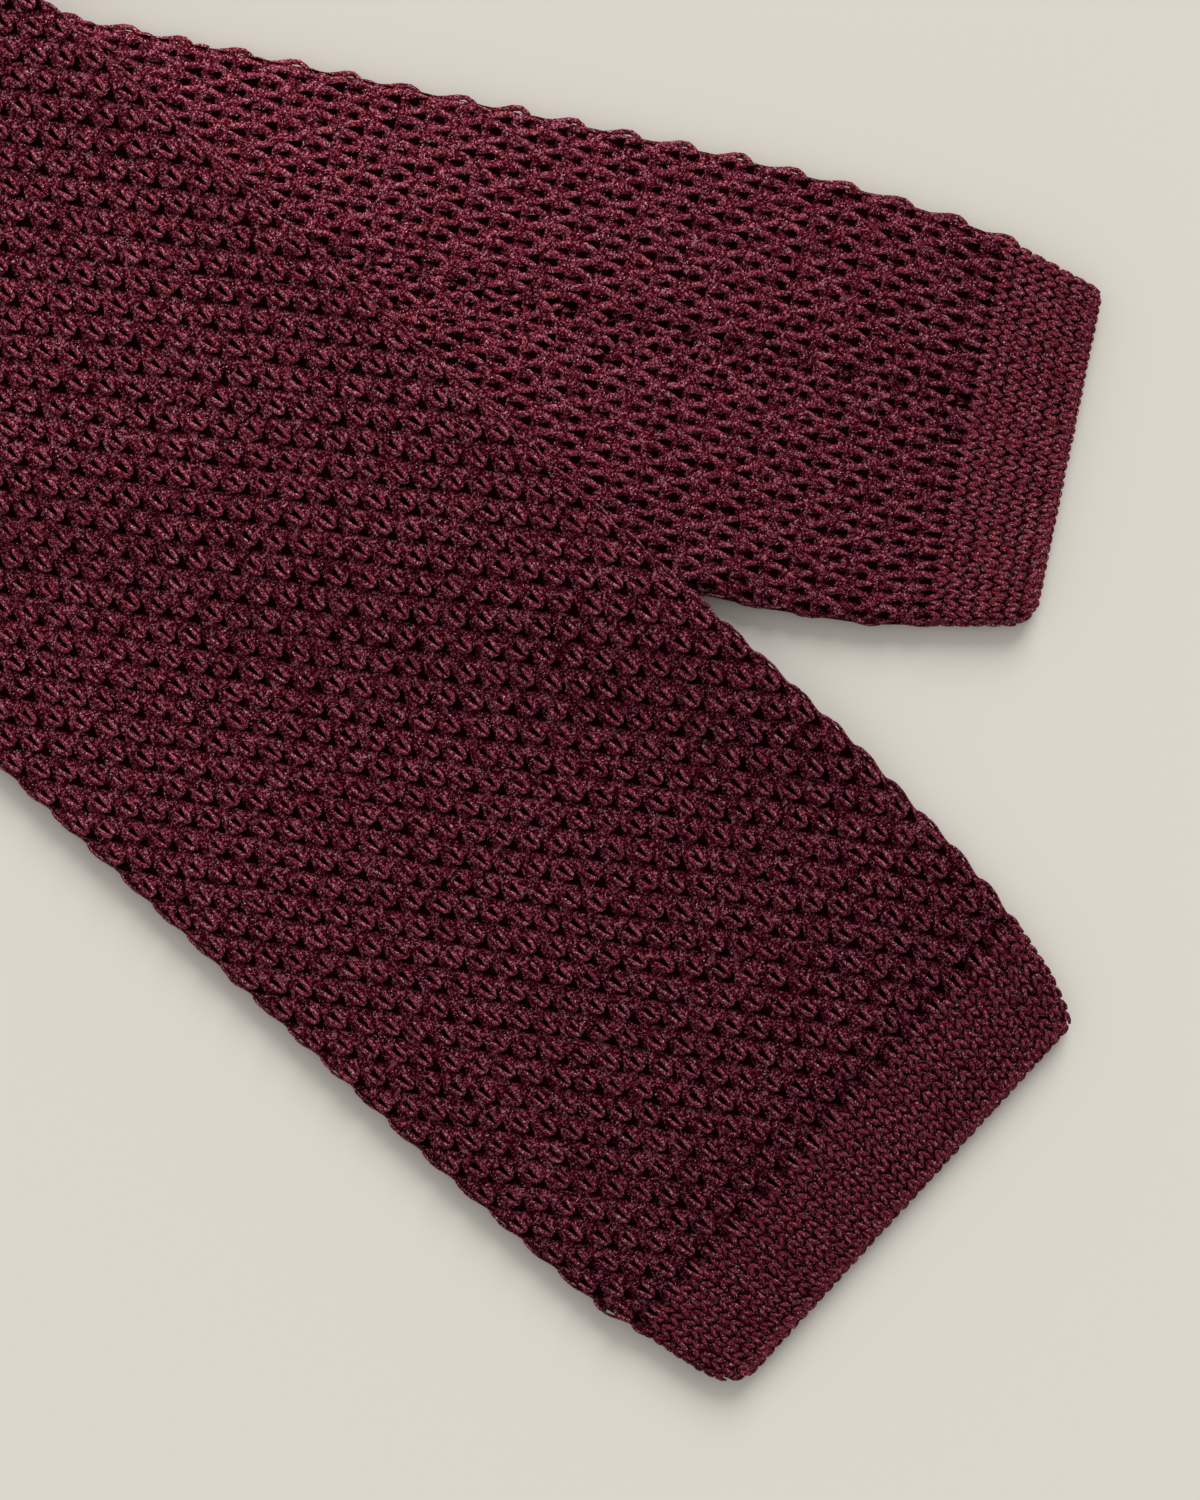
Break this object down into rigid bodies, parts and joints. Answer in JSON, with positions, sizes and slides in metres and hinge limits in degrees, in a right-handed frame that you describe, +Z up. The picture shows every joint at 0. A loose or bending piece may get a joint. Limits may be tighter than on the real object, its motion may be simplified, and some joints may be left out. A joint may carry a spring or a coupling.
{
  "type": "knit tie",
  "caption": "Long knitted necktie with square ends, a wide front blade and a narrow tail, folded once at the neck and lying flat with the front blade over the tail.",
  "frame": {"origin": "middle of the laid tie's underside, on the surface that it lies on", "axes": "+Z up, +Y along the front blade towards the neck fold, +X to the right with the square end towards the viewer"},
  "size_m": [0.1438, 0.745, 0.01],
  "materials": {
    "crunchy_knit_front": "open crunchy knit of twisted burgundy yarn with a silky sheen",
    "crunchy_knit_back": "the same knit stretched longer, a little brighter",
    "plain_knit": "dense plain knit of the same yarn",
    "seam_knit": "tight stitches that join the two edges of the cloth"
  },
  "bodies": {
    "root": {"front_blade": "crunchy_knit_front", "front_end_band": "plain_knit", "neck_band": "crunchy_knit_front", "tail_blade": "crunchy_knit_back", "tail_end_band": "plain_knit", "back_seam": "seam_knit"}
  },
  "joints": []
}
